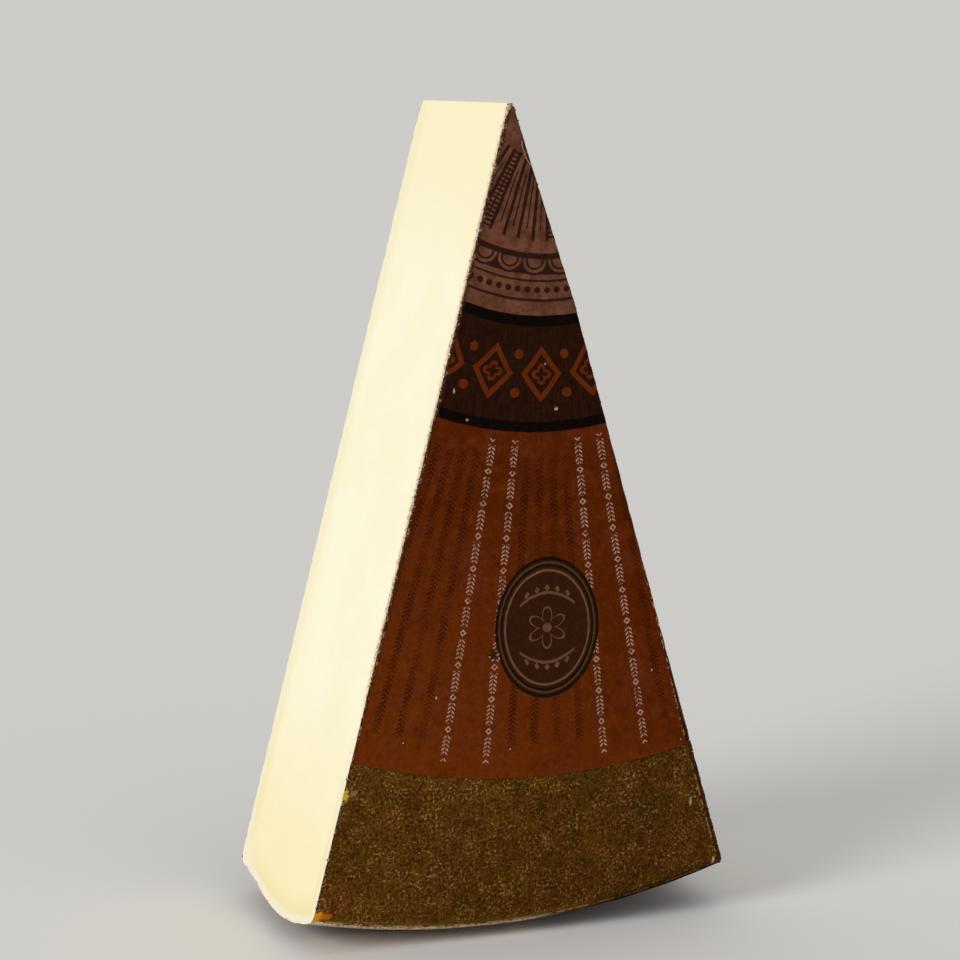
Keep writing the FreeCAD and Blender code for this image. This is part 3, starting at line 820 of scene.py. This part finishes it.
def print_material():
    """The printed side of the label, mottled by the rind under it and scratched here and there."""
    material, shader, flow = painted("label_print", 0.008, 0.85)
    place = object_place(flow)
    wobble = place.noise(6.0 * MM, 2.0) - 0.5
    x, _, z = place.parts()
    side = (x - LABEL_MIDDLE[0]) / MM + wobble * 0.5
    fall = (LABEL_MIDDLE[1] - z) / MM + wobble * 0.6
    out = (side * side + fall * fall).math("SQRT")
    turn = side.math("ARCTAN2", fall)
    cloud = place.noise(16.0 * MM, 3.0, 0.6)
    patch = place.noise(5.0 * MM, 3.0, 0.65)
    wander = place.noise(2.6 * MM, 1.0)
    mottle = place.noise(1.7 * MM, 3.0, 0.65)
    streak = vector(turn * 130.0, out * 0.12, 0.0).noise(1.1, 2.0, 0.6)

    toward_corner = (fall - side + (cloud - 0.5) * 90.0).rise(150.0, 330.0)
    colour = blend(toward_corner, tone(88, 34, 4), tone(109, 48, 9))
    blotch = place.noise(11.0 * MM, 4.0, 0.7)
    colour = blend(blotch.rise(0.48, 0.60) * 0.6, colour, tone(99, 42, 19))
    colour = blend(patch.rise(0.52, 0.68) * 0.5, colour, tone(110, 50, 14))
    colour = blend(patch.rise(0.46, 0.30) * 0.5, colour, tone(70, 27, 5))
    faint = None
    for group in FAINT_ROW_GROUPS:
        for step in FAINT_ROW_STEPS:
            row = laurel_row(out, turn, group + step)
            faint = row if faint is None else faint.high(row)
    faint = faint * (0.45 + 0.55 * cloud.rise(0.62, 0.40)) * patch.rise(0.28, 0.44)
    colour = blend(faint * ring(out, *FAINT_ROW_RUN) * 0.8, colour, tone(44, 16, 6))
    pale = None
    for row_turn in PALE_ROWS:
        row = wheat_row(out, turn, row_turn)
        pale = row if pale is None else pale.high(row)
    colour = blend(pale * mottle.rise(0.28, 0.5) * 0.8, colour, tone(184, 150, 130))
    ground, rim, light = oval_badge(side - BADGE_ASIDE, BADGE_FALL - fall)
    colour = blend(ground, colour, tone(54, 28, 14))
    colour = blend(rim * 0.9, colour, tone(24, 14, 10))
    colour = blend(light * 0.8, colour, tone(118, 84, 62))

    brown = blend(streak.rise(0.4, 0.62), tone(38, 18, 10), tone(45, 23, 12))
    band = blend(lozenge_band(out, turn) * ring(out, 92.0, 123.0), brown, tone(98, 41, 13))
    colour = blend(ring(out, -1.0, BAND_EDGE), colour, band)
    disc = blend(patch.rise(0.35, 0.65), tone(91, 55, 39), tone(116, 73, 54))
    disc = blend(streak.rise(0.55, 0.7) * 0.3, disc, tone(80, 48, 36))
    disc = blend(sun_disc(out, turn, wander) * 0.92, disc, tone(38, 21, 17))
    colour = blend(ring(out, -1.0, DISC_EDGE), colour, disc)
    rules = ring(out, *INNER_RULE).high(ring(out, *OUTER_RULE))
    colour = blend(rules, colour, tone(17, 11, 9))

    shade = 1.0 + (mottle - 0.5) * 0.9
    colour = colour.scaled(vector(shade, shade, shade))
    to_left, to_right = stored(flow, "to_left"), stored(flow, "to_right")
    fuzz = to_left.rise(1.7 * MM, 0.2 * MM) + (mottle - 0.5) * 1.6
    colour = blend(fuzz.rise(0.3, 0.8) * 0.75, colour, tone(62, 32, 12))
    lint = place.noise(2.0 * MM, 3.0, 0.75)
    pale_edge = to_right.rise(0.7 * MM, 0.2 * MM) * z.rise(160.0 * MM, 130.0 * MM)
    pale_edge = pale_edge * lint.rise(0.5, 0.58)
    tip_tear = abs(z - 303.5 * MM) < 4.5 * MM
    pale_edge = pale_edge.high(to_right.rise(0.5 * MM, 0.25 * MM) * tip_tear)
    pale_edge = pale_edge.high(to_left.rise(0.9 * MM, 0.2 * MM) * lint.rise(0.56, 0.62))
    colour = blend(pale_edge * 0.7, colour, tone(184, 152, 124))
    colour = spot(colour, place, (-12.4, LABEL_FACE, 112.9), 2.4, tone(52, 32, 15))
    for centre_x, centre_z, radius, stretch in LABEL_NICKS:
        centre = (centre_x, LABEL_FACE, centre_z)
        colour = spot(colour, place, centre, radius * 1.5, tone(56, 32, 12), stretch)
        colour = spot(colour, place, centre, radius * 0.75, tone(194, 162, 132), stretch)
    colour_shader(shader, colour)
    raise_bump(shader, mottle + patch * 0.6 + streak * 0.2, 0.35 * MM, 0.8)
    return material


label = grown("label_sheet", label_tree(print_material(), fibre_material()), LABEL_SIZES)
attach(label, "root")
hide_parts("label")

# --- Rind grit ---------------------------------------------------------------------------------
# The dried grains of the rind: salt, smear and crumbled crust that brushing has rolled into grit.
# They sit half sunk all over the bare rind and stop at the label.

GRIT_SIZES = {
    "Label X": LABEL_MIDDLE[0],
    "Label Z": LABEL_MIDDLE[1],
    "Label Radius": WEDGE_SIZES["Label Radius"],
    "Smallest": 0.35 * MM,
    "Largest": 1.25 * MM,
    "Proud": 0.16 * MM,
}


def grain_shape(start, segments):
    """A few-sided lump one unit across."""
    values = {"Segments": segments, "Rings": 2, "Radius": 0.5}
    return start.node("GeometryNodeMeshUVSphere", None, values)


def scattered(surface, density, seed):
    """Points spread over a surface, and the surface's direction at each."""
    values = {"Mesh": surface, "Density": density, "Seed": seed}
    points = surface.node("GeometryNodeDistributePointsOnFaces", None, values, "Points")
    return points, Flow(points.tree, points.socket.node.outputs["Normal"])


def thinned(points, where):
    """Keep only the points where the field is above 0.5."""
    values = {"Geometry": points, "Selection": 1.0 - where}
    return points.node("GeometryNodeDeleteGeometry", {"domain": "POINT"}, values)


def chance(points, seed):
    """A random number from 0 to 1 for each point."""
    return points.node("FunctionNodeRandomValue", {"data_type": "FLOAT"}, {"Seed": seed}, "Value_001")


def strewn(points, normal, grain, size, seed):
    """Put a turned, uneven grain at each point, sunk so that only its top stands out."""
    settings = {"data_type": "FLOAT_VECTOR"}
    any_turn = {"Min": (0.0,) * 3, "Max": (6.28,) * 3, "Seed": seed}
    spin = points.node("FunctionNodeRandomValue", settings, any_turn, "Value")
    uneven = {"Min": (0.6,) * 3, "Max": (1.2,) * 3, "Seed": seed + 1}
    squash = points.node("FunctionNodeRandomValue", settings, uneven, "Value")
    share = chance(points, seed + 2)
    across = size["Smallest"] + (size["Largest"] - size["Smallest"]) * share * share
    sink = (size["Proud"] - across * 0.6).low(0.0)
    sunk = {"Geometry": points, "Offset": normal.scaled(vector(sink, sink, sink))}
    points = points.node("GeometryNodeSetPosition", None, sunk)
    scale = squash.scaled(vector(across, across, across))
    values = {"Points": points, "Instance": grain, "Rotation": spin, "Scale": scale}
    return points.node("GeometryNodeInstanceOnPoints", None, values)


def held_in(mesh):
    """Press flat what would stand out of the wedge's box, such as grains that it rests on."""
    mesh = mesh.node("GeometryNodeRealizeInstances", None, {0: mesh})
    x, y, z = mesh.node("GeometryNodeInputPosition").parts()
    low, high = cad_box
    x = x.high(low[0]).low(high[0])
    y = y.high(low[1]).low(high[1])
    z = z.high(low[2]).low(high[2])
    return mesh.node("GeometryNodeSetPosition", None, {"Geometry": mesh, "Position": vector(x, y, z)})


def grit_tree(name, density, seed, keep_where, material):
    """Grains on the skin of the wedge, wherever keep_where says, brighter in some clumps."""
    tree, size = named_tree(name, GRIT_SIZES, with_surface=True)
    points, normal = scattered(size["Surface"], density, seed)
    place = points.node("GeometryNodeInputPosition")
    points = thinned(points, keep_where(points, place, size))
    clump = place.noise(9.0 * MM, 4.0, 0.75).rise(0.42, 0.58)
    points = keep(points, "shade", chance(points, seed + 5) * (0.25 + 0.75 * clump))
    grains = strewn(points, normal, grain_shape(points, 4), size, seed)
    finish_tree(held_in(grains), material)
    return tree


def on_front_ring(points, place, size):
    """The bare ring of rind round the label, down to the corner."""
    x, _, z = place.parts()
    side, fall = x - size["Label X"], size["Label Z"] - z
    out = (side * side + fall * fall).math("SQRT")
    bare = out > size["Label Radius"] - place.noise(2.0 * MM) * 1.6 * MM
    bare = bare * (kept(points, "to_right") > 1.1 * MM + place.noise(2.6 * MM) * 1.4 * MM)
    clump = place.noise(4.0 * MM, 3.0, 0.7)
    above_corner = kept(points, "to_rim") + clump * 5.0 * MM > 4.4 * MM
    on_front = (kept(points, "to_front") < 0.3 * MM) * above_corner
    return bare * on_front * (clump > 0.36) * off_edges(points, 0.25 * MM)


def on_rim(points, place, size):
    """The rim, from some way behind its front corner."""
    clump = place.noise(4.0 * MM, 3.0, 0.7)
    behind_corner = kept(points, "to_front") + clump * 24.0 * MM > 26.0 * MM
    on_skin = (kept(points, "to_rim") < 0.3 * MM) * off_edges(points, 0.4 * MM)
    return on_skin * (clump > 0.42) * behind_corner


def on_back(points, place, size):
    """The bare face behind."""
    clump = place.noise(4.0 * MM, 3.0, 0.7) > 0.42
    return (kept(points, "to_back") < 0.3 * MM) * clump * off_edges(points, 0.4 * MM)


def off_edges(points, gap):
    """Away from both cuts by this gap."""
    return kept(points, "to_left").low(kept(points, "to_right")) > gap


def grit_material():
    """Grains from dark brown to tan, paler where brushing has bared them."""
    material, shader, flow = painted("rind_grit", 0.02, 0.85)
    place = object_place(flow)
    shade = stored(flow, "shade")
    patch = place.noise(12.0 * MM, 3.0, 0.6)
    colour = blend(shade.rise(0.0, 0.5), tone(54, 32, 6), tone(112, 77, 26))
    colour = blend(shade.rise(0.40, 0.85), colour, tone(200, 168, 106))
    colour = blend(patch.rise(0.5, 0.65) * 0.25, colour, tone(82, 58, 14))
    colour_shader(shader, colour)
    return material


grit = grit_material()
# Grains to the square metre, before the bare places are cleared.
FRONT_GRAINS = 1.7e6
RIM_GRAINS = 0.9e6
BACK_GRAINS = 0.75e6
for name, density, seed, where in (
    ("rind_grit_front", FRONT_GRAINS, 3, on_front_ring),
    ("rind_grit_rim", RIM_GRAINS, 5, on_rim),
    ("rind_grit_back", BACK_GRAINS, 7, on_back),
):
    grains = grown(name, grit_tree(name, density, seed, where, grit), GRIT_SIZES, cheese)
    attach(grains, "root")

# --- Edge crumbs -------------------------------------------------------------------------------
# Crumbs of paste and crust that the knife dragged out. They are moist enough to cling along the
# edges of both cuts, and most of them lie on the side toward the label.

CRUMB_SIZES = {"Smallest": 0.22 * MM, "Largest": 0.95 * MM, "Proud": 0.28 * MM, "Reach": 1.1 * MM}
# Crumbs to the square metre, before those away from an edge are cleared.
CRUMBS = 3.0e6


def crumb_tree(material):
    """Crumbs within a short reach of an edge between a cut and the skin, fewer toward the back."""
    tree, size = named_tree("Crumbs", CRUMB_SIZES, with_surface=True)
    points, normal = scattered(size["Surface"], CRUMBS, 11)
    place = points.node("GeometryNodeInputPosition")
    z = place.parts()[2]
    to_skin = kept(points, "to_front").low(kept(points, "to_back")).low(kept(points, "to_rim"))
    to_left = kept(points, "to_left")
    to_cut = to_left.low(kept(points, "to_right"))
    labelled_left = (to_left < 3.0 * MM) * (kept(points, "to_front") < 3.0 * MM)
    along_label = labelled_left * z.rise(95.0 * MM, 115.0 * MM)
    rough = along_label + z.rise(262.0 * MM, 280.0 * MM) * labelled_left
    reach = size["Reach"] * (0.65 + 0.6 * rough) * place.noise(4.0 * MM, 3.0, 0.7).rise(0.25, 0.65)
    fewer_behind = 0.12 + 0.88 * (kept(points, "to_back") > 4.0 * MM)
    points = thinned(points, (to_skin.high(to_cut) < reach) * (chance(points, 19) < fewer_behind))
    darker = (kept(points, "to_front") < 0.05 * MM).high(along_label)
    at_right = (kept(points, "to_right") < 3.0 * MM) * 0.4
    points = keep(points, "shade", chance(points, 17) * (0.48 + 0.32 * darker) + at_right)
    crumbs = strewn(points, normal, grain_shape(points, 5), size, 13)
    finish_tree(held_in(crumbs), material)
    return tree


def crumb_material():
    """Crumbs of pale paste, some with brown rind on them."""
    material, shader, flow = painted("crumbs", 0.1, 0.75)
    shade = stored(flow, "shade")
    colour = blend(shade.rise(0.1, 0.5), tone(250, 242, 222), tone(206, 176, 134))
    colour = blend(shade.rise(0.48, 0.6), colour, tone(98, 62, 32))
    colour_shader(shader, colour)
    return material


crumbs = grown("edge_crumbs", crumb_tree(crumb_material()), CRUMB_SIZES, cheese)
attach(crumbs, "root")

# --- Studio ------------------------------------------------------------------------------------
# A plain pale floor that runs out to a pale background, one soft light from the left and even
# light all round. The camera looks at the left cut and the labelled face.

FLOOR_REACH = 20.0
FLOOR_TONE = tone(224, 222, 219)
floor_mesh = bpy.data.meshes.new("floor")
corners = [(-FLOOR_REACH, -FLOOR_REACH, 0), (FLOOR_REACH, -FLOOR_REACH, 0),
           (FLOOR_REACH, FLOOR_REACH, 0), (-FLOOR_REACH, FLOOR_REACH, 0)]
floor_mesh.from_pydata(corners, [], [(0, 1, 2, 3)])
floor = bpy.data.objects.new("floor", floor_mesh)
bpy.context.scene.collection.objects.link(floor)
floor_material, floor_shader, floor_flow = painted("floor", 0.0, 0.9)
floor_shader.inputs["Base Color"].default_value = FLOOR_TONE
floor.data.materials.append(floor_material)

ALL_ROUND_LIGHT = (0.62, 0.62, 0.62, 1.0)
BACKDROP_TONE = tone(205.4, 203.8, 200.8)
KEY_STRENGTH = 1.45
world = bpy.data.worlds.new("studio")
bpy.context.scene.world = world
world.use_nodes = True
sky = Flow(world.node_tree)
background = world.node_tree.nodes["Background"]
seen = sky.node("ShaderNodeLightPath", None, None, "Is Camera Ray")
backdrop = blend(seen, ALL_ROUND_LIGHT, BACKDROP_TONE)
world.node_tree.links.new(backdrop.socket, background.inputs["Color"])

key = bpy.data.lights.new("key", "SUN")
key.energy = KEY_STRENGTH
key.angle = math.radians(24)
key_lamp = bpy.data.objects.new("key", key)
bpy.context.scene.collection.objects.link(key_lamp)
key_lamp.rotation_euler = (math.radians(20), math.radians(-62), 0.0)

camera_data = bpy.data.cameras.new("camera")
camera_data.lens = 105.0
camera_data.sensor_width = 36.0
camera_data.clip_end = 100.0
camera = bpy.data.objects.new("camera", camera_data)
bpy.context.scene.collection.objects.link(camera)
LOOK_DOWN = math.asin(0.14724)
LOOK_RIGHT = math.atan2(0.35096, 0.92474)
camera.location = (-0.3897, -1.0278, 0.3367)
camera.rotation_euler = (math.pi / 2 - LOOK_DOWN, 0.0, -LOOK_RIGHT)
bpy.context.scene.camera = camera
bpy.context.scene.view_settings.view_transform = "Standard"
